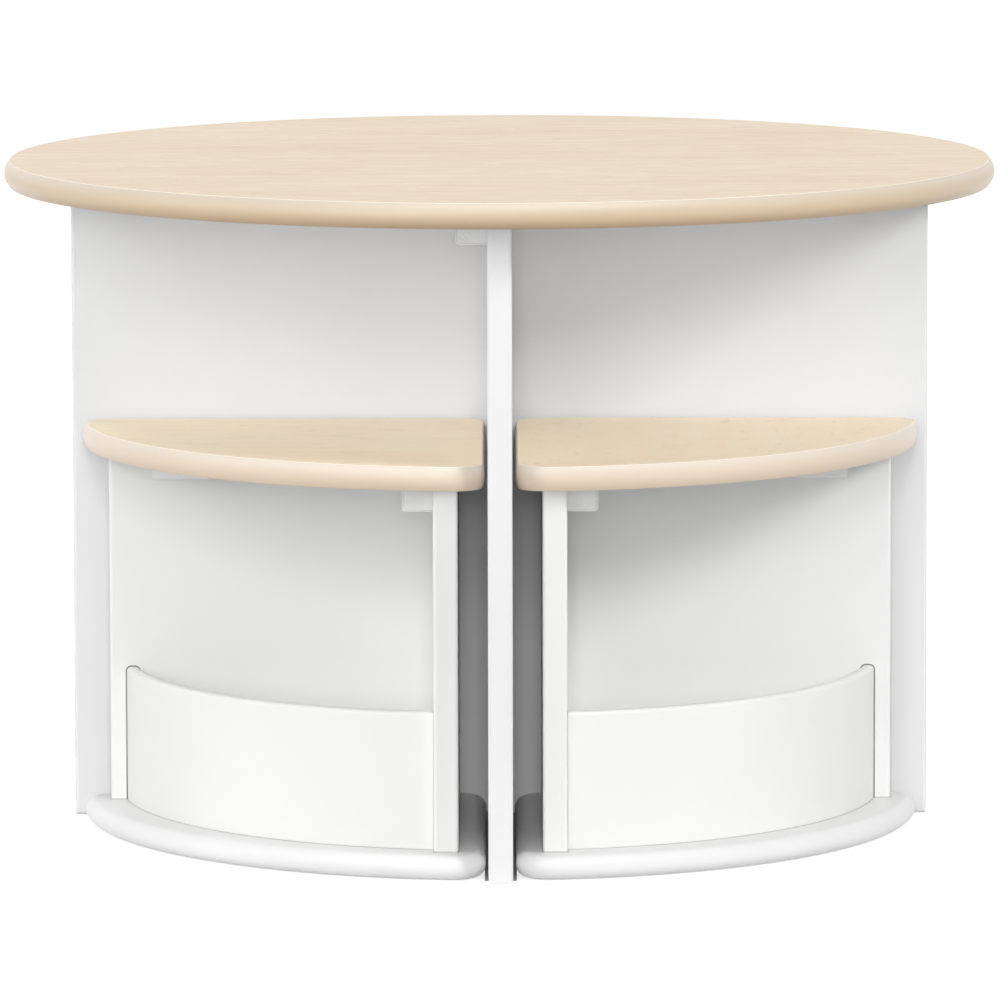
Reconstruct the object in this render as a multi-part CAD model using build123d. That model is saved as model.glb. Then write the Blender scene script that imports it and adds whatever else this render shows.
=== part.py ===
# A children's round table with four quarter-round storage stools.
# The table stands on two boards that cross at right angles, and one stool nests in each quarter.
# Millimetres. +Z is up, the origin is on the floor under the table's centre, and -Y is the front.

from build123d import *
import math
import os

# Driving sizes of the set
table_diameter = 750.0
table_height = 503.0
stool_height = 305.0

# Table top and its edging
table_top_thickness = 19.0
table_edging_bulge = 4.2

# The two crossed boards under the top
cross_board_thickness = 18.0
cross_board_end_inset = 50.0
cross_board_round = 2.5
lap_clearance = 0.15
lap_height_share = 0.5

# Where a stool stands in its quarter
stool_gap = 2.0
stool_edge_inset = 57.0
stool_corner_radius = 24.0

# Seat and base of a stool
seat_thickness = 18.0
seat_edging_bulge = 2.2
base_thickness = 18.0
base_rim_bulge = 6.0
nose_height_share = 1 / 3

# Upright boards of a stool
upright_thickness = 18.0
upright_inset = 20.0
upright_end_inset = 20.0
upright_round = 2.5

# Curved front of the storage bin
bin_front_height = 102.0
bin_front_thickness = 9.5
bin_front_inset = 30.5
bin_front_bevel = 2.2
bin_front_end_gap = 0.5

# Stub tenons that key the uprights into the base
tenon_length = 40.0
tenon_thickness = 8.0
tenon_depth = 8.0
tenon_clearance = 0.1
tenon_place_shares = (0.25, 0.75)

# Stub tenons that key the bin front into the base
bin_tenon_length = 26.0
bin_tenon_thickness = 5.0
bin_tenon_angle_shares = (0.25, 0.75)

# Tongue on the end of the left upright, in a groove of the right upright
tongue_thickness = 6.0
tongue_depth = 6.0
tongue_clearance = 0.1

# Plastic corner brackets with snap-on covers
bracket_length = 42.0
bracket_reach = 23.0
bracket_drop = 21.5
bracket_flange = 2.5
bracket_web = 2.0
cover_wall = 1.6
cover_bevel = 1.5
cover_lip = 0.6
cover_gap = 0.3
stool_bracket_inset = 34.0
table_bracket_inset = 60.0

# Pan-head screws of the brackets, drawn with few sides because the covers hide them
screw_head_radius = 3.4
screw_head_height = 2.2
screw_shank_radius = 1.9
screw_length = 14.0
screw_sides = 6

# Cuts run past the faces that they open by this much
overrun = 1.0

# Heights and distances from the table's centre that follow from these
table_top_underside = table_height - table_top_thickness
cross_board_reach = table_diameter / 2 - cross_board_end_inset
straight_edge = cross_board_thickness / 2 + stool_gap
stool_radius = table_diameter / 2 - stool_edge_inset
seat_underside = stool_height - seat_thickness
upright_height = seat_underside - base_thickness
upright_outer_face = straight_edge + upright_inset
upright_inner_face = upright_outer_face + upright_thickness
bin_front_radius = stool_radius - bin_front_inset

# The stools are alike, each turned about the table's centre from the back right quarter
stool_turns = {
    "back_right_stool": 0,
    "back_left_stool": 90,
    "front_left_stool": 180,
    "front_right_stool": 270,
}
wing_turns = (0, 90, 180, 270)

on_floor = (Align.CENTER, Align.CENTER, Align.MIN)
up_from_edge = (Align.MIN, Align.CENTER, Align.MIN)


def nosed_plate(outline, thickness, bulge):
    # A plate whose edge is a convex nose of three flats: the outline is its widest section,
    # and its top and bottom faces are smaller by the bulge on every side.
    nose_height = thickness * nose_height_share
    lean = math.degrees(math.atan2(bulge, nose_height))
    middle_height = thickness - 2 * nose_height
    middle = Pos(0, 0, nose_height) * extrude(outline, middle_height)
    top = Pos(0, 0, thickness - nose_height) * extrude(outline, nose_height, taper=lean)
    bottom = Pos(0, 0, nose_height) * extrude(outline, -nose_height, taper=lean)
    return bottom + middle + top


def table_top_board():
    board = extrude(Circle(table_diameter / 2 - table_edging_bulge), table_top_thickness)
    return Pos(0, 0, table_top_underside) * board


def table_edging():
    plate = nosed_plate(Circle(table_diameter / 2), table_top_thickness, table_edging_bulge)
    return Pos(0, 0, table_top_underside) * plate - table_top_board()


def cross_board():
    # One whole board of the cross, along X, with its exposed edges eased
    length = 2 * cross_board_reach
    board = Box(length, cross_board_thickness, table_top_underside, align=on_floor)
    ends = board.edges().filter_by(Axis.Z)
    feet = board.edges().group_by(Axis.Z)[0].filter_by(Axis.X)
    return fillet(ends + feet, cross_board_round)


def lap_slot(bottom, top):
    # The slot that lets the other board through, between two heights
    width = cross_board_thickness + 2 * lap_clearance
    depth = cross_board_thickness + 2 * overrun
    return Pos(0, 0, bottom) * Box(width, depth, top - bottom, align=on_floor)


def left_right_board():
    # Slotted from the top down to the lap
    lap = table_top_underside * lap_height_share
    return cross_board() - lap_slot(lap, table_top_underside + overrun)


def front_back_board():
    # Slotted from the floor up to the lap, with a little air above the other board
    lap = table_top_underside * lap_height_share + lap_clearance
    return Rot(0, 0, 90) * (cross_board() - lap_slot(-overrun, lap))


def quarter_outline(inset=0.0):
    # The stool's quarter-round outline in plan, with all its edges drawn in by the inset
    near = straight_edge + inset
    far = stool_radius - inset
    square = Pos(near, near) * Rectangle(far, far, align=(Align.MIN, Align.MIN))
    quarter = Circle(far) & square
    return fillet(quarter.vertices(), stool_corner_radius - inset)


def stool_reach():
    # Furthest that the outline gets from the table's centre along a cross board
    corner_from_centre = stool_radius - stool_corner_radius
    corner_across = straight_edge + stool_corner_radius
    return math.sqrt(corner_from_centre**2 - corner_across**2) + stool_corner_radius


def seat_board():
    return Pos(0, 0, seat_underside) * extrude(quarter_outline(seat_edging_bulge), seat_thickness)


def seat_edging():
    plate = nosed_plate(quarter_outline(), seat_thickness, seat_edging_bulge)
    return Pos(0, 0, seat_underside) * plate - seat_board()


def upright_end():
    return stool_reach() - upright_end_inset


def upright_tenons(length, clearance=0.0):
    # Tenons under an upright that runs along X from the origin, centred on its thickness
    tenons = []
    for share in tenon_place_shares:
        block = Box(
            tenon_length + 2 * clearance,
            tenon_thickness + 2 * clearance,
            tenon_depth + clearance,
            align=(Align.CENTER, Align.CENTER, Align.MAX),
        )
        tenons.append(Pos(length * share, 0, 0) * block)
    return tenons


def upright(length):
    # An upright along X from the origin, its outer end eased, standing on Z = 0
    board = Box(length, upright_thickness, upright_height, align=up_from_edge)
    outer_end = board.edges().filter_by(Axis.Z).group_by(Axis.X)[-1]
    board = fillet(outer_end, upright_round)
    for tenon in upright_tenons(length):
        board += tenon
    return board


def upright_middle():
    return (upright_outer_face + upright_inner_face) / 2


def left_place():
    return Pos(upright_inner_face, upright_middle(), base_thickness)


def right_place():
    return Pos(upright_middle(), upright_outer_face, base_thickness) * Rot(0, 0, 90)


def left_length():
    return upright_end() - upright_inner_face


def right_length():
    return upright_end() - upright_outer_face


def corner_tongue(clearance=0.0):
    # Tongue of the left upright, which reaches back into the right one over their whole height
    depth = tongue_depth + clearance
    width = tongue_thickness + 2 * clearance
    block = Box(depth, width, upright_height, align=(Align.MAX, Align.CENTER, Align.MIN))
    return left_place() * block


def left_upright():
    return left_place() * upright(left_length()) + corner_tongue()


def right_upright():
    return right_place() * upright(right_length()) - corner_tongue(tongue_clearance)


def bin_front_plan():
    # The curved front in plan, from one upright's inner face round to the other's
    near = upright_inner_face + bin_front_end_gap
    ring = Circle(bin_front_radius) - Circle(bin_front_radius - bin_front_thickness)
    quarter = Rectangle(bin_front_radius, bin_front_radius, align=(Align.MIN, Align.MIN))
    return ring & Pos(near, near) * quarter


def bin_front_tenons(clearance=0.0):
    # Short tenons square to the radius, spread over the angle that the front spans
    middle_radius = bin_front_radius - bin_front_thickness / 2
    start = math.degrees(math.asin(upright_inner_face / middle_radius))
    span = 90 - 2 * start
    block = Box(
        bin_tenon_thickness + 2 * clearance,
        bin_tenon_length + 2 * clearance,
        tenon_depth + clearance,
        align=(Align.CENTER, Align.CENTER, Align.MAX),
    )
    tenons = []
    for share in bin_tenon_angle_shares:
        turn = Rot(0, 0, start + span * share)
        tenons.append(turn * Pos(middle_radius, 0, base_thickness) * block)
    return tenons


def bin_front():
    front = Pos(0, 0, base_thickness) * extrude(bin_front_plan(), bin_front_height)
    front = chamfer(front.edges().group_by(Axis.Z)[-1], bin_front_bevel)
    for tenon in bin_front_tenons():
        front += tenon
    return front


def base_board():
    # The base has a mortise for every tenon that stands in it
    base = nosed_plate(quarter_outline(), base_thickness, base_rim_bulge)
    for tenon in upright_tenons(left_length(), tenon_clearance):
        base -= left_place() * tenon
    for tenon in upright_tenons(right_length(), tenon_clearance):
        base -= right_place() * tenon
    for tenon in bin_front_tenons(tenon_clearance):
        base -= tenon
    return base


# A bracket is drawn with X along its upright, Y out from the upright's face and Z up,
# from the line where that face meets the board above. Its cover stands past it by a lip.
bracket_inside_length = bracket_length - 2 * cover_lip
bracket_inside_reach = bracket_reach - cover_wall
bracket_inside_drop = bracket_drop - cover_wall
bay_length = (bracket_inside_length - 3 * bracket_web) / 2
bay_offset = (bay_length + bracket_web) / 2
under_board = (Align.CENTER, Align.MIN, Align.MAX)


def bracket_body():
    # Two flanges joined by two end webs and a middle one, which leave two bays for the screws
    section = (bracket_inside_reach, bracket_inside_drop)
    body = Box(bracket_inside_length, *section, align=under_board)
    bay = Box(bay_length, *section, align=under_board)
    for side in (-1, 1):
        body -= Pos(side * bay_offset, bracket_flange, -bracket_flange) * bay
    return body


def bracket_cover():
    # An L-shaped cover that closes the bays from the front and from below
    height = bracket_drop - cover_gap
    depth = bracket_reach - cover_gap
    block = Box(bracket_length, depth, height, align=under_board)
    cover = Pos(0, cover_gap, -cover_gap) * block
    lower_front = cover.edges().filter_by(Axis.X).sort_by(Axis.Z)[:2].sort_by(Axis.Y)[-1]
    cover = chamfer(lower_front, cover_bevel)
    hollow_length = bracket_length + 2 * overrun
    return cover - Box(hollow_length, bracket_inside_reach, bracket_inside_drop, align=under_board)


def screw():
    # Points up, with the underside of its head at the origin
    head = extrude(RegularPolygon(screw_head_radius, screw_sides), -screw_head_height)
    return head + extrude(RegularPolygon(screw_shank_radius, screw_sides), screw_length)


def bracket_screws():
    # One screw into the upright and one into the board above, each in its own bay
    half_reach = (bracket_flange + bracket_inside_reach) / 2
    half_drop = (bracket_flange + bracket_inside_drop) / 2
    into_upright = Pos(-bay_offset, bracket_flange, -half_drop) * Rot(90, 0, 0) * screw()
    into_board = Pos(bay_offset, half_reach, -bracket_flange) * screw()
    return [into_upright, into_board]


def table_bracket_places():
    # On the same hand of each wing of the cross
    middle = cross_board_reach - table_bracket_inset - bracket_length / 2
    places = []
    for turn in wing_turns:
        side = Pos(middle, -cross_board_thickness / 2, table_top_underside) * Rot(0, 0, 180)
        places.append(Rot(0, 0, turn) * side)
    return places


def stool_bracket_places():
    # On the inner face of each upright, near its outer end
    middle = upright_end() - stool_bracket_inset - bracket_length / 2
    on_left = Pos(middle, upright_inner_face, seat_underside)
    on_right = Pos(upright_inner_face, middle, seat_underside) * Rot(0, 0, -90)
    return [on_left, on_right]


def at_places(places, solids):
    return Compound([place * solid for place in places for solid in solids])


def table_pieces():
    places = table_bracket_places()
    return {
        "table_top": table_top_board(),
        "table_top_edging": table_edging(),
        "cross_board_left_right": left_right_board(),
        "cross_board_front_back": front_back_board(),
        "table_brackets": at_places(places, [bracket_body()]),
        "table_bracket_covers": at_places(places, [bracket_cover()]),
        "table_bracket_screws": at_places(places, bracket_screws()),
    }


def stool_pieces():
    places = stool_bracket_places()
    return {
        "seat": seat_board(),
        "seat_edging": seat_edging(),
        "left_upright": left_upright(),
        "right_upright": right_upright(),
        "base": base_board(),
        "bin_front": bin_front(),
        "brackets": at_places(places, [bracket_body()]),
        "bracket_covers": at_places(places, [bracket_cover()]),
        "bracket_screws": at_places(places, bracket_screws()),
    }


os.makedirs("parts", exist_ok=True)
for name, solid in table_pieces().items():
    export_step(solid, f"parts/{name}.step")
stool = stool_pieces()
for stool_name, turn in stool_turns.items():
    for name, solid in stool.items():
        export_step(Rot(0, 0, turn) * solid, f"parts/{stool_name}_{name}.step")
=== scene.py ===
import bpy
import bmesh
import math
import numpy as np
from mathutils import Matrix


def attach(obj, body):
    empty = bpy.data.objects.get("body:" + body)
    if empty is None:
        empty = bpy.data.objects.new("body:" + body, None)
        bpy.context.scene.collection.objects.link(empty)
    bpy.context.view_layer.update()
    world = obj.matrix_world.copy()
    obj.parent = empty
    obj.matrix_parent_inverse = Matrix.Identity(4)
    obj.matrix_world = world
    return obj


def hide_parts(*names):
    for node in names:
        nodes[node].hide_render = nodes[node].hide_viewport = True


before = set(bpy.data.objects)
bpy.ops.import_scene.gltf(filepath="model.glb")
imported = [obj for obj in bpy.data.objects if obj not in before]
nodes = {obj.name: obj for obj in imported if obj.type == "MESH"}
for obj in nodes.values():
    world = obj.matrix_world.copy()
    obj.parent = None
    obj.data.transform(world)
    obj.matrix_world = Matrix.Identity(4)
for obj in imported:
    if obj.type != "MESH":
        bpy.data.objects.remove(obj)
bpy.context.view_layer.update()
print("frame loaded with", len(nodes), "nodes")

# The stools are alike. Each is made in the back right quarter and turned by this many degrees.
stoolTurns = {
    "back_right_stool": 0,
    "back_left_stool": 90,
    "front_left_stool": 180,
    "front_right_stool": 270,
}


def linearColour(red, green, blue):
    # 0 to 255 display values to the linear values that shader sockets take, by the sRGB curve
    share = np.array([red, green, blue]) / 255
    value = np.where(share <= 0.04045, share / 12.92, ((share + 0.055) / 1.055) ** 2.4)
    return (*value.tolist(), 1.0)


# Small helpers for shader nodes

def newGroup(name, inputs, outputs):
    tree = bpy.data.node_groups.new(name, "ShaderNodeTree")
    for label, kind, value in inputs:
        socket = tree.interface.new_socket(label, in_out="INPUT", socket_type=kind)
        if value is not None:
            socket.default_value = value
    for label, kind in outputs:
        tree.interface.new_socket(label, in_out="OUTPUT", socket_type=kind)
    return tree, tree.nodes.new("NodeGroupInput"), tree.nodes.new("NodeGroupOutput")


def addNode(tree, kind, **values):
    # Plain keys set the node's own properties, and keys that start with "in" its input sockets
    node = tree.nodes.new(kind)
    for key, value in values.items():
        if key.startswith("in"):
            node.inputs[int(key[2:])].default_value = value
        else:
            setattr(node, key, value)
    return node


def mathNode(tree, operation, first, second=None, clamp=False):
    node = addNode(tree, "ShaderNodeMath", operation=operation, use_clamp=clamp)
    for place, value in enumerate((first, second)):
        if value is None:
            continue
        if isinstance(value, (int, float)):
            node.inputs[place].default_value = value
        else:
            tree.links.new(value, node.inputs[place])
    return node.outputs[0]


def rangeOf(tree, value, low, high, toLow, toHigh):
    node = addNode(tree, "ShaderNodeMapRange", in1=low, in2=high, in3=toLow, in4=toHigh)
    tree.links.new(value, node.inputs[0])
    return node.outputs[0]


def weightedSum(tree, *terms):
    # Each term is a socket and its weight
    total = None
    for value, weight in terms:
        part = mathNode(tree, "MULTIPLY", value, weight)
        total = part if total is None else mathNode(tree, "ADD", total, part)
    return total


def lengthOf(tree, first, second):
    # The square root of the sum of two squares
    squares = [mathNode(tree, "MULTIPLY", value, value) for value in (first, second)]
    return mathNode(tree, "SQRT", mathNode(tree, "ADD", *squares))


def planParts(tree, vector):
    # The sizes of x and y, and z as it is
    split = addNode(tree, "ShaderNodeSeparateXYZ")
    tree.links.new(vector, split.inputs[0])
    x, y = (mathNode(tree, "ABSOLUTE", split.outputs[axis]) for axis in (0, 1))
    return x, y, split.outputs[2]


def stretched(tree, vector, scale):
    mapping = addNode(tree, "ShaderNodeMapping")
    mapping.inputs["Scale"].default_value = scale
    tree.links.new(vector, mapping.inputs["Vector"])
    return mapping.outputs[0]


def noiseAt(tree, vector, scale, detail, roughness, distortion):
    # Noise over a vector that is stretched by its own scale on each axis
    noise = addNode(tree, "ShaderNodeTexNoise")
    noise.inputs["Scale"].default_value = 1.0
    noise.inputs["Detail"].default_value = detail
    noise.inputs["Roughness"].default_value = roughness
    noise.inputs["Distortion"].default_value = distortion
    tree.links.new(stretched(tree, vector, scale), noise.inputs["Vector"])
    return noise.outputs[0]


# Shader groups that several finishes share

grainFigure = {
    # noises: scale on each axis, detail, roughness, distortion
    "bands": ((4, 11, 11), 3, 0.5, 0.6),
    "streaks": ((30, 75, 75), 3, 0.6, 0.3),
    "fibres": ((22, 620, 620), 2, 0.6, 0.0),
    "flakes": ((45, 110, 110), 2, 0.6, 0.4),
    "pores": ((80, 900, 900), 1, 0.4, 0.0),
    "flameStretch": (1.1, 9, 9),
    "flame": {"Scale": 1.3, "Distortion": 7.0, "Detail": 2.5, "Detail Scale": 1.2},
    "weights": {"bands": 0.38, "streaks": 0.34, "fibres": 0.08, "flame": 0.16},
    # from which noise value to which a layer goes from none to full
    "toneSpan": (0.3, 0.7),
    "poreSpan": (0.66, 0.74),
    "darkSpan": (0.62, 0.72),
    "lightSpan": (0.38, 0.29),
    "poreDepth": 0.5,
}


def makeWoodGrain():
    # Fibre runs along X. Tone goes from 0, dark, to 1, light, over wide bands, streaks, a flame
    # figure and fine fibres. Flecks are the peaks and the hollows of a noise stretched along X.
    look = grainFigure
    tree, given, out = newGroup(
        "woodGrain",
        [("Vector", "NodeSocketVector", None), ("Amount", "NodeSocketFloat", 1.0)],
        [("Tone", "NodeSocketFloat"), ("Dark Fleck", "NodeSocketFloat"),
         ("Light Fleck", "NodeSocketFloat"), ("Height", "NodeSocketFloat")],
    )
    vector, amount = given.outputs["Vector"], given.outputs["Amount"]
    layers = {name: rangeOf(tree, noiseAt(tree, vector, *look[name]), *look["toneSpan"], -1, 1)
              for name in ("bands", "streaks", "fibres")}
    flame = addNode(tree, "ShaderNodeTexWave", wave_type="BANDS", bands_direction="Y")
    tree.links.new(stretched(tree, vector, look["flameStretch"]), flame.inputs["Vector"])
    for label, value in look["flame"].items():
        flame.inputs[label].default_value = value
    layers["flame"] = rangeOf(tree, flame.outputs[1], 0, 1, -1, 1)
    total = weightedSum(tree, *((layers[name], weight) for name, weight in look["weights"].items()))
    halved = mathNode(tree, "MULTIPLY", mathNode(tree, "MULTIPLY", total, amount), 0.5)
    tree.links.new(mathNode(tree, "ADD", halved, 0.5), out.inputs["Tone"])
    flakes = noiseAt(tree, vector, *look["flakes"])
    pores = rangeOf(tree, noiseAt(tree, vector, *look["pores"]), *look["poreSpan"], 0, look["poreDepth"])
    dark = mathNode(tree, "ADD", rangeOf(tree, flakes, *look["darkSpan"], 0, 1), pores)
    light = rangeOf(tree, flakes, *look["lightSpan"], 0, 1)
    tree.links.new(mathNode(tree, "MULTIPLY", dark, amount, clamp=True), out.inputs["Dark Fleck"])
    tree.links.new(mathNode(tree, "MULTIPLY", light, amount, clamp=True), out.inputs["Light Fleck"])
    tree.links.new(mathNode(tree, "SUBTRACT", layers["fibres"], pores), out.inputs["Height"])
    return tree


satinFigure = {
    # noises: scale on each axis, detail, roughness, distortion
    "cloud": ((7, 7, 7), 3, 0.5, 0.0),
    "rub": ((32, 32, 6), 4, 0.6, 0.8),
    "cloudSpan": (0.3, 0.7),
    "rubSpan": (0.45, 0.75),
    "textureDetail": 2.0,
}


def makeSatinSurface():
    # Cloudy tone, a fine roller or mould texture, and faint rub marks for lacquer and plastic
    look = satinFigure
    tree, given, out = newGroup(
        "satinSurface",
        [("Vector", "NodeSocketVector", None), ("Texture Scale", "NodeSocketFloat", 700.0)],
        [("Tone", "NodeSocketFloat"), ("Rub", "NodeSocketFloat"), ("Height", "NodeSocketFloat")],
    )
    vector = given.outputs["Vector"]
    cloud = rangeOf(tree, noiseAt(tree, vector, *look["cloud"]), *look["cloudSpan"], 0, 1)
    tree.links.new(cloud, out.inputs["Tone"])
    rub = rangeOf(tree, noiseAt(tree, vector, *look["rub"]), *look["rubSpan"], 0, 1)
    tree.links.new(rub, out.inputs["Rub"])
    fine = addNode(tree, "ShaderNodeTexNoise")
    tree.links.new(vector, fine.inputs["Vector"])
    tree.links.new(given.outputs["Texture Scale"], fine.inputs["Scale"])
    fine.inputs["Detail"].default_value = look["textureDetail"]
    tree.links.new(fine.outputs[0], out.inputs["Height"])
    return tree


jointSizes = {
    "upright": (0.031, 0.2959, 0.049),  # near end, far end, inner face
    "panel": (0.278, 0.2875),  # inner and outer radius
    "panelTop": 0.12,
    "panelRound": 0.0035,
    "baseTop": 0.018,
    "width": 0.0011,
    "solidShare": 0.6,  # of the width that is fully dark
    "ownFootShare": 0.4,  # how dark the painted shadow line round an upright's own foot is
    "faceSlack": 0.0002,
    "topSlack": 0.0003,
    "farAway": 1.0,
}


def makeJointShadowLines():
    # Painted shade: grey lines where boards meet, in place of the shadow in the gaps between them.
    # The stools mirror each other, so the larger and the smaller of |x| and |y| place a point along and
    # across an upright, and its distance from the middle places it on the panel. A line is where the
    # distance to a box is below the line's width.
    size = jointSizes
    tree, given, out = newGroup(
        "jointShadowLines", [("Vector", "NodeSocketVector", None)],
        [("Panel Shadow Line", "NodeSocketFloat"), ("Foot Shadow Line", "NodeSocketFloat")],
    )
    x, y, level = planParts(tree, given.outputs["Vector"])
    along, across = mathNode(tree, "MAXIMUM", x, y), mathNode(tree, "MINIMUM", x, y)

    def outside(value, low, high):
        # How far a value lies outside a range
        offset = mathNode(tree, "ABSOLUTE", mathNode(tree, "SUBTRACT", value, (low + high) / 2))
        return mathNode(tree, "MAXIMUM", mathNode(tree, "SUBTRACT", offset, (high - low) / 2), 0.0)

    def shadowLineFrom(distance, start=0.0):
        return rangeOf(tree, distance, start + size["solidShare"] * size["width"],
                       start + size["width"], 1, 0)

    radius, rounding, farAway = lengthOf(tree, x, y), size["panelRound"], size["farAway"]
    inner, outer = size["panel"]
    panel = lengthOf(tree, outside(radius, inner + rounding, outer - rounding),
                     outside(level, -farAway, size["panelTop"] - rounding))
    near, far, face = size["upright"]
    onFace = mathNode(tree, "GREATER_THAN", across, face - size["faceSlack"])
    aboveBase = outside(level, -farAway, size["baseTop"])
    ownFoot = mathNode(tree, "MULTIPLY", shadowLineFrom(aboveBase), size["ownFootShare"])
    panelShadowLine = mathNode(tree, "MULTIPLY", shadowLineFrom(panel, rounding), onFace)
    tree.links.new(mathNode(tree, "MAXIMUM", panelShadowLine, ownFoot), out.inputs["Panel Shadow Line"])
    foot = lengthOf(tree, outside(along, near, far), outside(across, near, face))
    panelFoot = mathNode(tree, "ADD", outside(radius, inner, outer), outside(across, face, farAway))
    onTop = mathNode(tree, "GREATER_THAN", level, size["baseTop"] - size["topSlack"])
    either = mathNode(tree, "MAXIMUM", shadowLineFrom(foot), shadowLineFrom(panelFoot))
    tree.links.new(mathNode(tree, "MULTIPLY", either, onTop), out.inputs["Foot Shadow Line"])
    return tree


woodGrain = makeWoodGrain()
satinSurface = makeSatinSurface()
jointShadowLines = makeJointShadowLines()


# Materials. In each look, "shine" is added to the roughness at tone 0 and at tone 1, and "bump"
# is the relief's strength and its depth in metres.

def newMaterial(name, look):
    material = bpy.data.materials.new(name)
    material.use_nodes = True
    tree = material.node_tree
    shader = tree.nodes["Principled BSDF"]
    shader.inputs["Specular IOR Level"].default_value = look["specular"]
    return material, tree, shader


def placeGroup(tree, group, vector, **values):
    node = tree.nodes.new("ShaderNodeGroup")
    node.node_tree = group
    tree.links.new(vector, node.inputs["Vector"])
    for key, value in values.items():
        node.inputs[key.replace("_", " ")].default_value = value
    return node


def turnedCoordinates(tree, turn=0, shift=(0, 0, 0)):
    # Object coordinates turned with the stool, and moved so that no two boards match
    coordinates = tree.nodes.new("ShaderNodeTexCoord")
    mapping = tree.nodes.new("ShaderNodeMapping")
    mapping.inputs["Rotation"].default_value = (0, 0, -math.radians(turn))
    mapping.inputs["Location"].default_value = shift
    tree.links.new(coordinates.outputs["Object"], mapping.inputs["Vector"])
    return mapping.outputs[0], coordinates


def mixColour(tree, factor, first, second):
    node = addNode(tree, "ShaderNodeMix", data_type="RGBA")
    for place, value in ((0, factor), (6, first), (7, second)):
        if isinstance(value, (tuple, int, float)):
            node.inputs[place].default_value = value
        else:
            tree.links.new(value, node.inputs[place])
    return node.outputs[2]


def giveSheen(tree, shader, look, tone, height):
    # Roughness that follows a tone, and a fine relief
    shine = [look["roughness"] + change for change in look["shine"]]
    tree.links.new(rangeOf(tree, tone, 0, 1, *shine), shader.inputs["Roughness"])
    bump = addNode(tree, "ShaderNodeBump")
    bump.inputs["Strength"].default_value, bump.inputs["Distance"].default_value = look["bump"]
    tree.links.new(height, bump.inputs["Height"])
    tree.links.new(bump.outputs[0], shader.inputs["Normal"])


bleedShare = 0.9


def calmBleed(tree, colour):
    # Towards grey by a share where a diffuse ray arrives, so that white boards stay white
    grey = tree.nodes.new("ShaderNodeRGBToBW")
    tree.links.new(colour, grey.inputs[0])
    isDiffuse = tree.nodes.new("ShaderNodeLightPath").outputs["Is Diffuse Ray"]
    return mixColour(tree, mathNode(tree, "MULTIPLY", isDiffuse, bleedShare), colour, grey.outputs[0])


laminateLook = {
    "light": linearColour(236, 219, 196),
    "dark": linearColour(219, 196, 166),
    "darkFleck": linearColour(202, 178, 147),
    "lightFleck": linearColour(246, 237, 222),
    "fleckShare": 0.5,
    "core": linearColour(142, 110, 78),
    "backing": linearColour(238, 238, 235),
    "faceSpan": (0.4, 0.6),  # how upright the normal is where the edge turns into the face
    "grainAmount": 0.9,
    "specular": 0.4,
    "roughness": 0.42,
    "shine": (0.05, -0.05),
    "bump": (0.12, 0.0001),
}
# Painted light: a lighter copy of the laminate, made lighter to make up for the shade that the table top
# casts on the seats
litSeatLaminateLook = dict(laminateLook, light=linearColour(255, 237, 205),
                        dark=linearColour(252, 227, 193), fleckShare=0.25)


def woodLaminate(name, turn, shift, look):
    # Printed maple face, a dark core line on the sheet's edge and a white backing below
    material, tree, shader = newMaterial(name, look)
    vector, coordinates = turnedCoordinates(tree, turn, shift)
    grain = placeGroup(tree, woodGrain, vector, Amount=look["grainAmount"])
    face = mixColour(tree, grain.outputs["Tone"], look["dark"], look["light"])
    for fleck in ("dark", "light"):
        share = mathNode(tree, "MULTIPLY", grain.outputs[fleck.title() + " Fleck"], look["fleckShare"])
        face = mixColour(tree, share, face, look[fleck + "Fleck"])
    normal = addNode(tree, "ShaderNodeSeparateXYZ")
    tree.links.new(coordinates.outputs["Normal"], normal.inputs[0])
    low, high = look["faceSpan"]
    upwards = rangeOf(tree, normal.outputs[2], low, high, 0, 1)
    downwards = rangeOf(tree, normal.outputs[2], -low, -high, 0, 1)
    colour = mixColour(tree, upwards, look["core"], face)
    colour = mixColour(tree, downwards, colour, look["backing"])
    tree.links.new(calmBleed(tree, colour), shader.inputs["Base Color"])
    giveSheen(tree, shader, look, grain.outputs["Tone"], grain.outputs["Height"])
    return material


edgingLook = {
    "light": linearColour(206, 186, 157),
    "dark": linearColour(195, 173, 143),
    # Painted light: a paler tint on the nose's top as a painted highlight, and a deeper tint on its
    # lower half as painted shade
    "shoulder": linearColour(213, 200, 183),
    "lower": linearColour(182, 154, 120),
    "girth": 0.0209,  # the run round the nose from its top to its bottom
    "shoulderSpan": (0.5, 0.05),  # shares of the girth where a painted tint is none and full
    "lowerSpan": (0.5, 0.95),
    "grainAmount": 0.6,
    "specular": 0.5,
    "roughness": 0.42,
    "shine": (0.05, -0.03),
    "bump": (0.05, 0.0001),
    "coat": 0.5,
    "coatRoughness": 0.3,
}
# Painted light: a lighter copy of the edging colours for the seats, made lighter to match how brightly
# the seat noses are lit
litSeatEdgingLook = dict(edgingLook, light=linearColour(224, 208, 188), dark=linearColour(214, 196, 174),
                      shoulder=linearColour(225, 213, 198), lower=linearColour(210, 190, 166),
                      girth=0.0182)
# Painted highlight: the eased edge of the face sheet is a real shape, coloured paler than the face so
# that it shows as a bright line along the seam
highlightSheetEdgeLook = dict(edgingLook, light=linearColour(250, 240, 224), dark=linearColour(244, 231, 211),
                     shoulder=linearColour(250, 240, 224), lower=linearColour(244, 231, 211),
                     girth=0.002, roughness=0.4)


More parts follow.
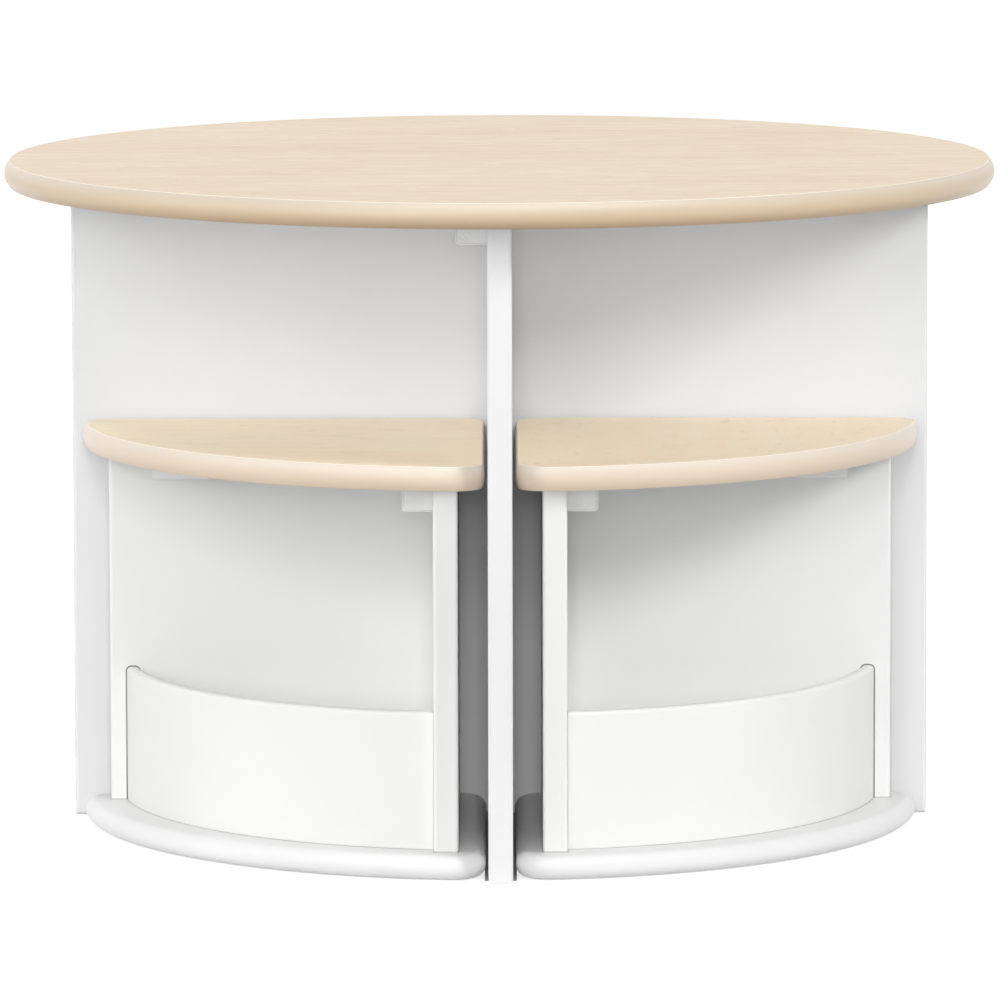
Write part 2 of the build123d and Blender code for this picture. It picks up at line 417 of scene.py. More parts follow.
def woodEdging(name, look):
    # Smooth convex edging with a faint printed grain that follows its own length. Its shoulder is
    # painted paler, a painted highlight, and its lower half painted deeper, painted shade, by the map's
    # second number, the run down from its top.
    material, tree, shader = newMaterial(name, look)
    path = tree.nodes.new("ShaderNodeUVMap")
    path.uv_map = "along"
    grain = placeGroup(tree, woodGrain, path.outputs[0], Amount=look["grainAmount"])
    colour = mixColour(tree, grain.outputs["Tone"], look["dark"], look["light"])
    down = addNode(tree, "ShaderNodeSeparateXYZ")
    tree.links.new(path.outputs[0], down.inputs[0])
    # Painted highlight on the shoulder and painted shade on the lower half
    for paintedTint in ("shoulder", "lower"):
        none, full = (share * look["girth"] for share in look[paintedTint + "Span"])
        colour = mixColour(tree, rangeOf(tree, down.outputs[1], none, full, 0, 1), colour, look[paintedTint])
    tree.links.new(calmBleed(tree, colour), shader.inputs["Base Color"])
    shader.inputs["Coat Weight"].default_value = look["coat"]
    shader.inputs["Coat Roughness"].default_value = look["coatRoughness"]
    giveSheen(tree, shader, look, grain.outputs["Tone"], grain.outputs["Height"])
    return material


boardLook = {
    "light": linearColour(235, 235, 234),
    "dark": linearColour(231, 231, 230),
    # painted shade: the grey of the shadow lines where boards meet
    "seam": linearColour(112, 112, 110),
    "specular": 0.45,
    "roughness": 0.38,
    "shine": (0, 0.08),
    "bump": (0.06, 0.0001),
    "textureScale": 900.0,
}
# Painted shade: a darker copy of the white lacquer, so that the cross boards and the base boards come
# out dimmer under the lamps
dimmedBoardLook = dict(boardLook, light=linearColour(230, 230, 230), dark=linearColour(226, 226, 226))


def whiteBoard(name, shift, look=boardLook, line=None, shadowLineShare=0.0):
    # Satin white lacquer: a cloudy tone, a fine roller texture and, where asked, a painted shadow line
    # at a joint
    material, tree, shader = newMaterial(name, look)
    vector, coordinates = turnedCoordinates(tree, 0, shift)
    surface = placeGroup(tree, satinSurface, vector, Texture_Scale=look["textureScale"])
    colour = mixColour(tree, surface.outputs["Tone"], look["dark"], look["light"])
    # Painted shade: grey lines where boards meet, in place of the shadow in the gaps between them
    if line:
        lines = placeGroup(tree, jointShadowLines, coordinates.outputs["Object"])
        share = mathNode(tree, "MULTIPLY", lines.outputs[line], shadowLineShare)
        colour = mixColour(tree, share, colour, look["seam"])
    tree.links.new(colour, shader.inputs["Base Color"])
    giveSheen(tree, shader, look, surface.outputs["Rub"], surface.outputs["Height"])
    return material


def shadeOf(colour, share):
    return tuple(share * value for value in colour[:3]) + (1.0,)


plasticLook = {
    "light": linearColour(240, 240, 238),
    "dark": shadeOf(linearColour(240, 240, 238), 0.93),
    "metallic": 0.0,
    "specular": 0.5,
    "roughness": 0.42,
    "shine": (0, 0.12),
    "bump": (0.15, 0.00005),
    "textureScale": 2600.0,
}
# Painted light: a lighter copy of the bracket plastic for the covers, so that the cover's rim shows as
# lit
litCoverLook = dict(plasticLook, light=linearColour(250, 250, 248),
                 dark=shadeOf(linearColour(250, 250, 248), 0.93))
steelLook = {
    "light": linearColour(208, 208, 206),
    "dark": linearColour(176, 178, 180),
    "metallic": 1.0,
    "specular": 0.5,
    "roughness": 0.35,
    "shine": (-0.07, 0.1),
    "bump": (0.1, 0.00004),
    "textureScale": 3500.0,
}


def smallPartFinish(name, look):
    # Moulded plastic or zinc-plated steel
    material, tree, shader = newMaterial(name, look)
    shader.inputs["Metallic"].default_value = look["metallic"]
    vector, _ = turnedCoordinates(tree)
    surface = placeGroup(tree, satinSurface, vector, Texture_Scale=look["textureScale"])
    colour = mixColour(tree, surface.outputs["Tone"], look["dark"], look["light"])
    tree.links.new(colour, shader.inputs["Base Color"])
    giveSheen(tree, shader, look, surface.outputs["Rub"], surface.outputs["Height"])
    return material


edgingFinish = woodEdging("tableEdging", edgingLook)
seatEdgingFinish = woodEdging("seatEdging", litSeatEdgingLook)
sheetEdgeFinish = woodEdging("easedSheetEdge", highlightSheetEdgeLook)
bracketFinish = smallPartFinish("bracketPlastic", plasticLook)
coverFinish = smallPartFinish("coverPlastic", litCoverLook)
screwFinish = smallPartFinish("zincSteel", steelLook)
print("materials made")


# Meshes

mergeDistance = 1e-7


def gridFaces(rows, columns, wrapRows=False, wrapColumns=False):
    # Quads between neighbouring points of a grid. A wrapped way joins its last line to its first.
    row = np.arange(rows if wrapRows else rows - 1)[:, None]
    column = np.arange(columns if wrapColumns else columns - 1)[None, :]
    nextRow, nextColumn = (row + 1) % rows, (column + 1) % columns
    corners = [row * columns + column, nextRow * columns + column,
               nextRow * columns + nextColumn, row * columns + nextColumn]
    return np.stack(corners, -1).reshape(-1, 4)


def endCaps(rows, columns):
    # Quads that close the first and the last row of a grid. A row goes out along one side of a
    # wall and comes back along the other, so each point faces the one as far from the row's end.
    pair = np.arange(columns // 2 - 1)
    return [np.stack([first + pair, first + pair + 1, first + columns - 2 - pair,
                      first + columns - 1 - pair], -1) for first in (0, (rows - 1) * columns)]


def addToScene(name, data):
    item = bpy.data.objects.new(name, data)
    bpy.context.scene.collection.objects.link(item)
    return item


def makePiece(name, points, faces, material, body, replaced=(), along=None, sharp=40):
    # Points and quads to a closed, outward-facing mesh that rides on a body
    mesh = bpy.data.meshes.new(name)
    mesh.from_pydata(points.tolist(), [], faces.tolist())
    if along is not None:
        layer = mesh.uv_layers.new(name="along")
        layer.data.foreach_set("uv", along.astype(np.float32).ravel())
    work = bmesh.new()
    work.from_mesh(mesh)
    bmesh.ops.remove_doubles(work, verts=work.verts, dist=mergeDistance)
    bmesh.ops.recalc_face_normals(work, faces=work.faces)
    work.to_mesh(mesh)
    work.free()
    mesh.shade_smooth()
    mesh.set_sharp_from_angle(angle=math.radians(sharp))
    mesh.materials.append(material)
    piece = addToScene(name, mesh)
    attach(piece, body)
    if replaced:
        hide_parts(*replaced)
    return piece


def turned(points, degrees):
    # Points turned about the table's centre line
    cosine, sine = math.cos(math.radians(degrees)), math.sin(math.radians(degrees))
    x, y, z = points[..., 0], points[..., 1], points[..., 2]
    return np.stack([x * cosine - y * sine, x * sine + y * cosine, z], -1)


def circleOutline(radius, count):
    # Points round a circle from the back, their outward normals, and the length run
    angle = math.pi / 2 + np.linspace(0, 2 * math.pi, count, endpoint=False)
    normal = np.stack([np.cos(angle), np.sin(angle)], -1)
    return radius * normal, normal, radius * (angle - angle[0]), 2 * math.pi * radius


stoolPlan = {
    "straightEdge": 0.011,  # how far the straight edges lie from the table's middle lines
    "radius": 0.318,
    "cornerRadius": 0.024,
    "innerCount": 14,
    "outerCount": 20,
    "rimCount": 110,
    "leastStep": 1e-6,
}


def quarterOutline():
    # The stool's plan: two straight edges and the big arc, joined by three corner arcs.
    # Each arc point is its centre plus its radius times the normal.
    look = stoolPlan
    radius, corner = look["radius"], look["cornerRadius"]
    near = look["straightEdge"] + corner
    far = math.sqrt((radius - corner) ** 2 - near ** 2)
    lean = math.atan2(near, far)
    quarterTurn = math.pi / 2
    arcs = [
        ((near, near), corner, -2 * quarterTurn, -quarterTurn, look["innerCount"]),
        ((far, near), corner, -quarterTurn, lean, look["outerCount"]),
        ((0, 0), radius, lean, quarterTurn - lean, look["rimCount"]),
        ((near, far), corner, quarterTurn - lean, 2 * quarterTurn, look["outerCount"]),
    ]
    points, normals = [], []
    for centre, size, start, end, count in arcs:
        angle = np.linspace(start, end, count)
        normal = np.stack([np.cos(angle), np.sin(angle)], -1)
        points.append(np.array(centre) + size * normal)
        normals.append(normal)
    points, normals = np.concatenate(points), np.concatenate(normals)
    keep = np.linalg.norm(points - np.roll(points, 1, axis=0), axis=1) > look["leastStep"]
    points, normals = points[keep], normals[keep]
    steps = np.linalg.norm(np.roll(points, -1, axis=0) - points, axis=1)
    run = np.concatenate([[0], np.cumsum(steps)[:-1]])
    return points, normals, run, steps.sum()


def sweep(outline, inset, height):
    # Grid point (i, j) is outline point i drawn in by inset j along its normal, at height j
    points, normals = outline[0], outline[1]
    flat = points[:, None, :] - inset[None, :, None] * normals[:, None, :]
    level = np.broadcast_to(height[None, :, None], (*flat.shape[:2], 1))
    return np.concatenate([flat, level], -1)


def nose(bottom, top, bulge, count):
    # A convex nose from its top to its bottom, one circular arc: its radius is the sum of the
    # squares of half the height and of the bulge, over twice the bulge. Height and inset follow
    # from the radius times the sine, and times one less the cosine, of the angle from its middle.
    half = (top - bottom) / 2
    radius = (half ** 2 + bulge ** 2) / (2 * bulge)
    end = math.atan2(half, radius - bulge)
    angle = np.linspace(end, -end, count)
    return radius * (1 - np.cos(angle)), (top + bottom) / 2 + radius * np.sin(angle)


def ringPiece(name, outline, inset, height, turn, material, body, replaced=()):
    # A closed profile swept round an outline. The map's first number is the run round the
    # outline, and its second the run round the profile.
    grid = sweep(outline, inset, height)
    rows, columns = grid.shape[:2]
    steps = np.hypot(np.roll(inset, -1) - inset, np.roll(height, -1) - height)
    across = np.concatenate([[0], np.cumsum(steps)])
    run = np.append(outline[2], outline[3])
    row, column = np.repeat(np.arange(rows), columns), np.tile(np.arange(columns), rows)
    corners = [(row, column), (row + 1, column), (row + 1, column + 1), (row, column + 1)]
    along = np.stack([np.stack([run[r], across[c]], -1) for r, c in corners], 1)
    points = turned(grid, turn).reshape(-1, 3)
    return makePiece(name, points, gridFaces(rows, columns, True, True), material, body,
                     replaced, along)


def edgingPiece(name, outline, look, turn, finish, body, replaced):
    # The convex nose, closed by a straight back against the board, a little lower than its face
    bottom = look["underside"]
    top = bottom + look["thickness"] - look["recess"]
    inset, height = nose(bottom, top, look["bulge"], look["count"])
    return ringPiece(name, outline, inset, height, turn, finish, body, replaced)


sheetEdge = {
    "reach": 0.0003,
    "fall": 0.0004,
    "count": 6,
    "belowFace": 0.00002,
    "backDepth": 0.0002,  # how far it goes into the board
    "footDepth": 0.0001,
}


def sheetEdgePiece(name, outline, look, turn, body):
    # The eased edge of the face sheet: a quarter of an ellipse that stands out over the seam
    sheet = sheetEdge
    angle = np.linspace(math.pi / 2, 0, sheet["count"])
    top = look["underside"] + look["thickness"] - sheet["belowFace"]
    back = look["bulge"] + sheet["backDepth"]
    inset = look["bulge"] - sheet["reach"] * np.cos(angle)
    height = top - sheet["fall"] + sheet["fall"] * np.sin(angle)
    inset = np.concatenate([[back], inset, [inset[-1], back]])
    height = np.concatenate([[top], height, [top - sheet["fall"] - sheet["footDepth"]] * 2])
    return ringPiece(name, outline, inset, height, turn, sheetEdgeFinish, body)


tableEdging = {"underside": 0.484, "thickness": 0.019, "bulge": 0.0042, "recess": 0.0005,
               "count": 26, "radius": 0.375, "around": 384}
seatEdging = {"underside": 0.287, "thickness": 0.018, "bulge": 0.0022, "recess": 0.0005,
              "count": 24}

tableOutline = circleOutline(tableEdging["radius"], tableEdging["around"])
edgingPiece("table_edging", tableOutline, tableEdging, 0, edgingFinish, "table",
            ["table_top_edging"])
sheetEdgePiece("table_sheet_edge", tableOutline, tableEdging, 0, "table")
plan = quarterOutline()
for stool, turn in stoolTurns.items():
    edgingPiece(stool + "_edging", plan, seatEdging, turn, seatEdgingFinish, stool,
                [stool + "_seat_edging"])
    sheetEdgePiece(stool + "_sheet_edge", plan, seatEdging, turn, stool)
print("edgings made")

basePlate = {
    "thickness": 0.018,
    "bulge": 0.0075,
    "count": 26,
    "middle": (0.13, 0.13),
    "flatShares": (0.0, 0.5, 0.985),
}


def basePiece(stool, turn, finish):
    # A round-nosed plate: its two flats shrink from the nose towards the middle of the plan
    look = basePlate
    inset, height = nose(0, look["thickness"], look["bulge"], look["count"])
    rim = sweep(plan, inset, height)
    middle = np.array(look["middle"])
    columns = []
    for edge, shares in ((0, look["flatShares"]), (-1, look["flatShares"][::-1])):
        flat = [np.concatenate([middle + share * (rim[:, edge, :2] - middle), rim[:, edge, 2:]], -1)
                for share in shares]
        columns.append(np.stack(flat, 1))
    grid = np.concatenate([columns[0], rim, columns[1]], 1)
    faces = gridFaces(*grid.shape[:2], True, False)
    points = turned(grid, turn).reshape(-1, 3)
    return makePiece(stool + "_base_board", points, faces, finish, stool,
                     [stool + "_base"])


binFront = {
    "innerRadius": 0.278,
    "outerRadius": 0.2875,
    "bottom": 0.018,
    "height": 0.102,
    "endFace": 0.0491,
    "edgeRound": 0.0035,
    "footRound": 0.0006,
    "endRound": 0.0003,
    "cornerRound": 0.0003,
    "columns": 96,
    "arcCount": 9,
    "footCount": 4,
}


def binFrontPiece(stool, turn, finish):
    # A curved panel between the uprights, whose section is carried along the arc. Near its ends
    # quarter circles make the section thinner and lower. At radius r an end lies at the angle
    # whose sine is endFace / r, so that both end faces are flat against the uprights.
    look = binFront
    middle = (look["innerRadius"] + look["outerRadius"]) / 2
    halfThick = (look["outerRadius"] - look["innerRadius"]) / 2
    length = middle * (math.pi / 2 - 2 * math.asin(look["endFace"] / middle))
    ease = 1 - np.cos(np.linspace(0, math.pi / 2, look["arcCount"]))
    ends = np.unique(np.concatenate([look["endRound"] * ease, look["cornerRound"] * ease]))
    between = np.linspace(ends[-1], length - ends[-1], look["columns"])[1:-1]
    place = np.concatenate([ends, between, (length - ends)[::-1]])
    fromEnd = np.minimum(place, length - place)

    def rounding(size):
        gap = np.clip(size - fromEnd, 0, size)
        return size - np.sqrt(size ** 2 - gap ** 2)

    half = halfThick - rounding(look["endRound"])
    top = look["bottom"] + look["height"] - rounding(look["cornerRound"])
    foot = np.linspace(-math.pi / 2, 0, look["footCount"])
    angle = np.linspace(0, math.pi / 2, look["arcCount"])
    across = np.concatenate([look["footRound"] * (np.cos(foot) - 1), [0],
                             look["edgeRound"] * (np.cos(angle) - 1)])
    rise = np.concatenate([np.zeros(look["footCount"]), [0.5], np.ones(look["arcCount"])])
    drop = np.concatenate([look["footRound"] * (np.sin(foot) + 1), [0],
                           look["edgeRound"] * (np.sin(angle) - 1)])
    side = half[:, None] + across[None, :]
    level = look["bottom"] + (top[:, None] - look["bottom"]) * rise[None, :] + drop[None, :]
    reach = middle + np.concatenate([side, -side[:, ::-1]], 1)
    level = np.concatenate([level, level[:, ::-1]], 1)
    endAngle = np.arcsin(look["endFace"] / reach)
    turnAngle = endAngle + (place / length)[:, None] * (math.pi / 2 - 2 * endAngle)
    grid = np.stack([reach * np.cos(turnAngle), reach * np.sin(turnAngle), level], -1)
    rows, columns = grid.shape[:2]
    faces = np.concatenate([gridFaces(rows, columns, False, True), *endCaps(rows, columns)])
    points = turned(grid, turn).reshape(-1, 3)
    return makePiece(stool + "_bin_panel", points, faces, finish, stool,
                     [stool + "_bin_front"])


# Brackets: X along the board, Y out from its face, Z up from the board above

bracket = {
    "length": 0.042,
    "reach": 0.023,
    "drop": 0.0215,
    "wall": 0.0009,
    "bodyWall": 0.0016,
    "gap": 0.0003,
    "round": 0.0024,
    "leastRound": 0.0004,
    "arcCount": 9,
    "lip": 0.0006,
    "flange": 0.0025,
    "web": 0.002,
    "stoolMiddle": 0.2409,  # from the table's middle lines to a bracket's middle, and to the face
    "stoolFace": 0.049,
    "tableMiddle": 0.244,
    "tableFace": 0.009,
    "bevel": 0.00025,
    "bevelAngle": 0.9,
}


def stoolBracketPlaces():
    # Turn, and place of the bracket's middle, in the back right quarter
    middle, face, above = bracket["stoolMiddle"], bracket["stoolFace"], seatEdging["underside"]
    return [(0, (middle, face, above)), (-90, (face, middle, above))]


def tableBracketPlaces():
    spot = np.array([bracket["tableMiddle"], -bracket["tableFace"], tableEdging["underside"]])
    return [(180 + turn, turned(spot, turn)) for turn in (0, 90, 180, 270)]


def placed(points, places, turn):
    # Copies of a bracket's points at each place, and then turned with the stool
    copies = [turned(points, degrees) + np.array(spot) for degrees, spot in places]
    return turned(np.concatenate(copies), turn)


def copiedFaces(faces, count, size):
    return np.concatenate([faces + size * copy for copy in range(count)])


def coverShell():
    # An L carried along X: its outer line turns the lower corner on an arc, and its inner line on
    # a smaller one, so that the wall keeps its thickness
    look = bracket
    angle = np.linspace(0, -math.pi / 2, look["arcCount"])
    arc = np.stack([np.cos(angle), np.sin(angle)], -1)
    lines = []
    for offset in (0, look["wall"]):
        size = max(look["round"] - offset, look["leastRound"])
        centre = np.array([look["reach"] - offset - size, -look["drop"] + offset + size])
        first = np.array([[look["reach"] - offset, -look["gap"]]])
        last = np.array([[look["gap"], -look["drop"] + offset]])
        lines.append(np.concatenate([first, centre + size * arc, last]))
    loop = np.concatenate([lines[0], lines[1][::-1]])
    ends = np.array([-look["length"] / 2, look["length"] / 2])
    grid = np.concatenate([np.broadcast_to(ends[:, None, None], (2, len(loop), 1)),
                           np.broadcast_to(loop[None], (2, *loop.shape))], -1)
    faces = np.concatenate([gridFaces(2, len(loop), False, True), *endCaps(2, len(loop))])
    return grid.reshape(-1, 3), faces


endPlate = {
    "thickness": 0.0005,
    "margin": 0.0002,
    "groove": 0.00022,
    "grooveReach": 0.0007,
    "grooveSlope": 1.6,
    "count": 64,
    # each groove from one point to another, out from the board and down
    "grooves": (((0.0205, -0.0140), (0.0155, -0.0186)), ((0.0185, -0.0125), (0.0130, -0.0175)),
                ((0.0110, -0.0125), (0.0085, -0.0160))),
}


def endPlates():
    # A plate on each end of the bracket, inside the cover's lip. Its face is a height field: a
    # groove is deep along a slanting line and rises to nothing at its reach from the line.
    look = endPlate
    margin, count = look["margin"], look["count"]
    reach = bracket["reach"] - bracket["wall"] - margin
    drop = bracket["drop"] - bracket["wall"] - margin
    y, z = np.meshgrid(np.linspace(margin, reach, count), np.linspace(-drop, -margin, count),
                       indexing="ij")
    depth = np.zeros_like(y)
    for (y0, z0), (y1, z1) in look["grooves"]:
        squaredLength = (y1 - y0) ** 2 + (z1 - z0) ** 2
        share = np.clip(((y - y0) * (y1 - y0) + (z - z0) * (z1 - z0)) / squaredLength, 0, 1)
        distance = np.hypot(y - y0 - share * (y1 - y0), z - z0 - share * (z1 - z0))
        rise = look["grooveSlope"] * distance / look["grooveReach"]
        depth = np.maximum(depth, look["groove"] * np.clip(look["grooveSlope"] - rise, 0, 1))
    face = bracket["length"] / 2 - bracket["lip"]
    sheetSize = count * count
    step = np.arange(count - 1)
    border = np.concatenate([step * count, sheetSize - count + step,
                             (count - 1 - step) * count + count - 1, count - 1 - step])
    nextBorder = np.roll(border, -1)
    sheet = gridFaces(count, count)
    wall = np.stack([border, nextBorder, nextBorder + sheetSize, border + sheetSize], -1)
    plate = np.concatenate([sheet, sheet + sheetSize, wall])
    points = []
    for side in (-1, 1):
        for x in (face + look["thickness"] - depth, np.full_like(y, face)):
            points.append(np.stack([side * x, y, z], -1).reshape(-1, 3))
    return np.concatenate(points), copiedFaces(plate, 2, 2 * sheetSize)


screw = {
    "headRadius": 0.0034,
    "headHeight": 0.0022,
    "domeHeight": 0.0012,
    "shankRadius": 0.0019,
    "length": 0.014,
    "pitch": 0.0014,
    "threadDepth": 0.0005,
    "pointLength": 0.003,
    "pointShare": 0.08,  # of the shank's radius that is left at the point
    "slotWidth": 0.0005,
    "slotReach": 0.0019,
    "slotDepth": 0.0012,
    "around": 28,
    "domeCount": 8,
    "shankCount": 60,
}


def screwShape():
    # Turned about Z. The shank's radius loses a thread's depth times how far the height, less the
    # share of a turn, lies from a whole number of pitches. A cross is pressed into the domed head.
    look = screw
    angle = np.linspace(0, 2 * math.pi, look["around"], endpoint=False)[:, None]
    dome = np.linspace(0, math.pi / 2, look["domeCount"])
    headRadius = np.concatenate([look["headRadius"] * np.sin(dome), [look["headRadius"]]])
    domeLevel = -look["headHeight"] + look["domeHeight"] * (1 - np.cos(dome))
    level = np.linspace(0, look["length"], look["shankCount"])
    taper = np.clip((look["length"] - level) / look["pointLength"], look["pointShare"], 1)
    wave = np.abs(((level[None, :] / look["pitch"] - angle / (2 * math.pi)) % 1) * 2 - 1)
    shank = (look["shankRadius"] - look["threadDepth"] * wave) * taper[None, :]
    head = np.broadcast_to(headRadius, (look["around"], len(headRadius)))
    radius = np.concatenate([head, shank, np.zeros((look["around"], 1))], 1)
    height = np.concatenate([domeLevel, [0], level, [look["length"]]])
    x, y = radius * np.cos(angle), radius * np.sin(angle)
    z = np.broadcast_to(height, x.shape).copy()
    onDome = np.arange(len(height)) < len(dome)
    inSlot = (np.minimum(np.abs(x), np.abs(y)) < look["slotWidth"]) & (radius < look["slotReach"])
    z[inSlot & onDome[None, :]] += look["slotDepth"]
    grid = np.stack([x, y, z], -1)
    return grid.reshape(-1, 3), gridFaces(*grid.shape[:2], True, False)


def bracketScrews():
    # One screw into the board that carries the bracket and one into the board above
    look = bracket
    inside = look["length"] - 2 * look["lip"]
    bay = (inside - 3 * look["web"]) / 2
    offset = (bay + look["web"]) / 2
    reach = (look["flange"] + look["reach"] - look["bodyWall"]) / 2
    drop = (look["flange"] + look["drop"] - look["bodyWall"]) / 2
    points, faces = screwShape()
    flat = np.stack([points[:, 0], -points[:, 2], points[:, 1]], -1)
    intoBoard = flat + np.array([-offset, look["flange"], -drop])
    intoTop = points + np.array([offset, reach, -look["flange"]])
    return np.concatenate([intoBoard, intoTop]), copiedFaces(faces, 2, len(points))


bracketShapes = {"cover": coverShell(), "plate": endPlates(), "screws": bracketScrews()}


def bracketPieces(body, places, turn):
    # The covers, end plates and screws of all brackets on a body
    def make(shape, name, finish, replaced, sharp):
        points, faces = bracketShapes[shape]
        return makePiece(f"{body}_{name}", placed(points, places, turn),
                         copiedFaces(faces, len(places), len(points)), finish, body,
                         replaced, sharp=sharp)

    cover = make("cover", "bracket_cover_shells", coverFinish,
                 [body + "_bracket_covers"], 50)
    bevel = cover.modifiers.new("softEdges", "BEVEL")
    bevel.width, bevel.segments = bracket["bevel"], 2
    bevel.limit_method, bevel.angle_limit = "ANGLE", bracket["bevelAngle"]
    make("plate", "bracket_end_plates", bracketFinish, (), 60)
    make("screws", "screws", screwFinish, [body + "_bracket_screws"], 40)


# Finishes of the boards that keep their CAD shape. A shift places a board in its pattern.

boardShifts = {
    "table_top": (0.31, 0.12, 0),
    "cross_board_left_right": (0.2, 0.5, 0.1),
    "cross_board_front_back": (0.7, 0.1, 0.4),
    "stool": (0.4, 0.9, 0.1),
    "nextStool": (0.37, 0.23, 0),
}
jointShadowShares = {"uprights": 1.0, "base": 0.35}  # how dark the painted shadow lines at the joints are


def dress(node, material):
    nodes[node].data.materials.clear()
    nodes[node].data.materials.append(material)


dress("table_top", woodLaminate("tableLaminate", 0, boardShifts["table_top"], laminateLook))
for node, name in (("cross_board_left_right", "crossBoardLacquerA"),
                   ("cross_board_front_back", "crossBoardLacquerB")):
    dress(node, whiteBoard(name, boardShifts[node], dimmedBoardLook))
dress("table_brackets", bracketFinish)
bracketPieces("table", tableBracketPlaces(), 0)
for number, (stool, turn) in enumerate(stoolTurns.items()):
    shift = tuple(start + number * step
                  for start, step in zip(boardShifts["stool"], boardShifts["nextStool"]))
    dress(stool + "_seat", woodLaminate(stool + "Laminate", turn, shift, litSeatLaminateLook))
    # Painted shadow lines on the uprights where the panel and the base meet them, and on the base boards
    # round the feet
    lacquer = whiteBoard(stool + "Lacquer", shift, boardLook, "Panel Shadow Line", jointShadowShares["uprights"])
    for board in ("left_upright", "right_upright"):
        dress(f"{stool}_{board}", lacquer)
    dress(stool + "_brackets", bracketFinish)
    baseFinish = whiteBoard(stool + "BaseLacquer", shift, dimmedBoardLook, "Foot Shadow Line",
                            jointShadowShares["base"])
    basePiece(stool, turn, baseFinish)
    binFrontPiece(stool, turn, whiteBoard(stool + "PanelLacquer", shift))
    bracketPieces(stool, stoolBracketPlaces(), turn)
print("boards dressed, base boards, bin panels and brackets made")


# Floor, light and camera, in metres from the table's foot

studio = {
    "floorHalf": 30.0,
    "floorDrop": 0.0004,
    "floorColour": 0.45,
    # what the floor sends back to the boards, close to them and further out
    "bounceNear": 0.7,
    "bounceFar": 0.4,
    "bounceFrom": 0.36,
    "bounceTo": 0.55,
    # the floor's own brightness in the picture, close to the table and further out
    "glowNear": 0.68,
    "glowFar": 1.0,
    "glowFrom": 0.8,
    "glowTo": 2.2,
    # painted shadow: no brightness of its own in the gaps between the cross boards and the stools, so
    # that these strips of floor show dark as shade
    "shadowStripHalf": 0.0118,
    "shadowStripReach": 0.312,
    "ambient": 0.02,
    "aim": (0, 0, 0.25),
    "lamps": {
        # name: (degrees up, degrees right of the front, distance, width, height, watts, lights)
        "sideLeft": (15, -75, 4.0, 1.4, 1.8, 44.6, "diffuse"),
        "midLeft": (15, -40, 4.0, 1.4, 1.8, 12.6, "both"),
        "frontLeft": (15, -18, 4.0, 1.4, 1.8, 20.4, "both"),
        "highLeft": (26, -60, 4.0, 0.9, 0.9, 11.6, "diffuse"),
        "keyRight": (26, 60, 4.0, 0.9, 0.9, 80.5, "diffuse"),
        "sideRight": (38, 75, 4.0, 1.8, 1.4, 7.8, "diffuse"),
        "frontHigh": (38, 0, 4.0, 1.8, 1.4, 15, "both"),
        "frontFill": (22, 0, 6.0, 0.6, 1.0, 44, "diffuse"),
        "cameraHigh": (12, 0, 6.0, 0.5, 0.7, 27.2, "diffuse"),
        "cameraFill": (7, 0, 6.0, 0.5, 0.7, 41, "diffuse"),
        "topGloss": (62, 10, 4.0, 4.0, 1.8, 55, "gloss"),
        "crestLeft": (38, -75, 4.0, 1.8, 1.4, 19, "diffuse"),
        "backLeft": (40, -150, 4.0, 1.8, 1.4, 64, "diffuse"),
        "backRight": (40, 150, 4.0, 1.8, 1.4, 26, "diffuse"),
    },
}


def isSeenDirectly(tree):
    # 1 where the eye sees the surface by itself, in a reflection or through glass
    path = tree.nodes.new("ShaderNodeLightPath")
    value = path.outputs["Is Camera Ray"]
    for ray in ("Is Glossy Ray", "Is Transmission Ray"):
        value = mathNode(tree, "MAXIMUM", value, path.outputs[ray])
    return value


def floorFinish():
    # Pale grey to the lamps, and lit from within where it is seen, but not in the strips beside the
    # cross boards, which are left dark as a painted shadow
    look = studio
    material = bpy.data.materials.new("paleFloor")
    material.use_nodes = True
    tree = material.node_tree
    tree.nodes.clear()
    coordinates = addNode(tree, "ShaderNodeTexCoord").outputs["Object"]
    x, y, _ = planParts(tree, coordinates)
    distance = lengthOf(tree, x, y)
    bounce = rangeOf(tree, distance, look["bounceFrom"], look["bounceTo"], look["bounceNear"],
                     look["bounceFar"])
    shade = addNode(tree, "ShaderNodeMix", in2=look["floorColour"])
    isDiffuse = tree.nodes.new("ShaderNodeLightPath").outputs["Is Diffuse Ray"]
    tree.links.new(isDiffuse, shade.inputs[0])
    tree.links.new(bounce, shade.inputs[3])
    diffuse = addNode(tree, "ShaderNodeBsdfDiffuse")
    tree.links.new(shade.outputs[0], diffuse.inputs[0])
    strength = rangeOf(tree, distance, look["glowFrom"], look["glowTo"], look["glowNear"],
                       look["glowFar"])
    # Painted shadow: the glow is left out in strips beside the cross boards
    inStrip = mathNode(tree, "LESS_THAN", mathNode(tree, "MINIMUM", x, y), look["shadowStripHalf"])
    inReach = mathNode(tree, "LESS_THAN", mathNode(tree, "MAXIMUM", x, y), look["shadowStripReach"])
    inShadowStrip = mathNode(tree, "MULTIPLY", inStrip, inReach)
    strength = mathNode(tree, "MULTIPLY", strength, mathNode(tree, "SUBTRACT", 1.0, inShadowStrip))
    glow = addNode(tree, "ShaderNodeEmission")
    tree.links.new(mathNode(tree, "MULTIPLY", isSeenDirectly(tree), strength),
                   glow.inputs["Strength"])
    both = addNode(tree, "ShaderNodeAddShader")
    tree.links.new(diffuse.outputs[0], both.inputs[0])
    tree.links.new(glow.outputs[0], both.inputs[1])
    tree.links.new(both.outputs[0], addNode(tree, "ShaderNodeOutputMaterial").inputs[0])
    return material


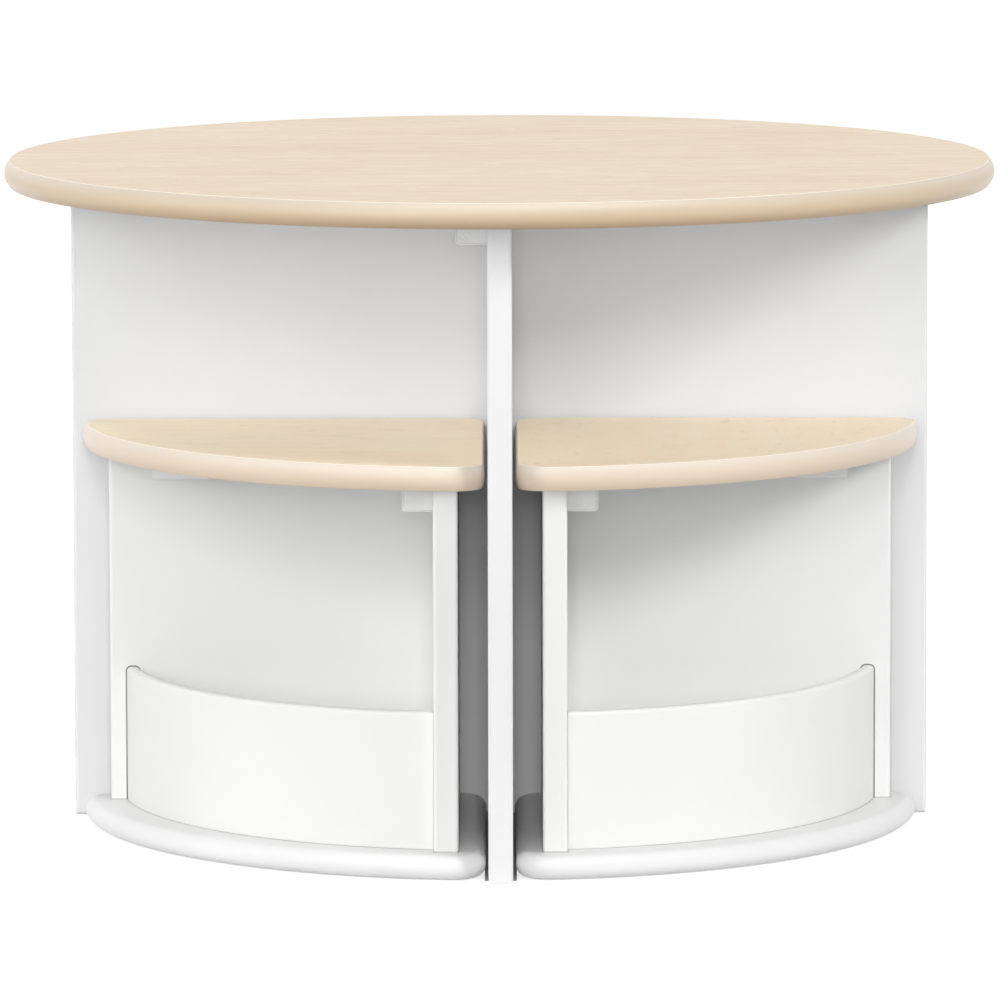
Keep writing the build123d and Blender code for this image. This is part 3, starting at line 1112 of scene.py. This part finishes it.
def makeFloor():
    half, level = studio["floorHalf"], -studio["floorDrop"]
    corners = [(-half, -half, level), (half, -half, level), (half, half, level), (-half, half, level)]
    mesh = bpy.data.meshes.new("floor")
    mesh.from_pydata(corners, [], [(0, 1, 2, 3)])
    mesh.materials.append(floorFinish())
    floor = addToScene("floor", mesh)


def makeLamps():
    # Each lamp's axes are the columns of its matrix: to its side, up, and away from the aim
    aim = np.array(studio["aim"])
    for name, (rise, swing, distance, width, height, watts, lights) in studio["lamps"].items():
        data = bpy.data.lights.new(name, "AREA")
        data.shape, data.size, data.size_y, data.energy = "RECTANGLE", width, height, watts
        rise, swing = math.radians(rise), math.radians(swing)
        away = np.array([math.sin(swing) * math.cos(rise), -math.cos(swing) * math.cos(rise),
                         math.sin(rise)])
        side = np.cross([0, 0, 1], away)
        side /= np.linalg.norm(side)
        columns = np.column_stack([side, np.cross(away, side), away, aim + distance * away])
        lamp = addToScene(name, data)
        lamp.matrix_world = Matrix(columns.tolist() + [[0, 0, 0, 1]])
        lamp.visible_glossy, lamp.visible_diffuse = lights != "diffuse", lights != "gloss"


def makeWorld():
    world = bpy.data.worlds.new("studio")
    bpy.context.scene.world = world
    world.use_nodes = True
    tree = world.node_tree
    background = tree.nodes["Background"]
    background.inputs[0].default_value = (1, 1, 1, 1)
    strength = rangeOf(tree, isSeenDirectly(tree), 0, 1, studio["ambient"], 1.0)
    tree.links.new(strength, background.inputs[1])


camera = {
    "place": (0, -6.83, 1.119),
    "pitch": 7.33,  # degrees down
    "roll": -0.13,
    "lens": 325.3,  # millimetres, as the sensor
    "sensor": 36.0,
    "clip": (0.1, 100),
}


def makeCamera():
    data = bpy.data.cameras.new("camera")
    data.sensor_width, data.lens = camera["sensor"], camera["lens"]
    data.clip_start, data.clip_end = camera["clip"]
    viewer = addToScene("camera", data)
    tilt = Matrix.Rotation(math.radians(90 - camera["pitch"]), 4, "X")
    roll = Matrix.Rotation(math.radians(camera["roll"]), 4, "Z")
    viewer.matrix_world = Matrix.Translation(camera["place"]) @ tilt @ roll
    bpy.context.scene.camera = viewer


makeFloor()
makeLamps()
makeWorld()
makeCamera()
bpy.context.scene.view_settings.view_transform = "Standard"
bpy.context.scene.cycles.diffuse_bounces = 8  # white boards facing each other
print("studio made")
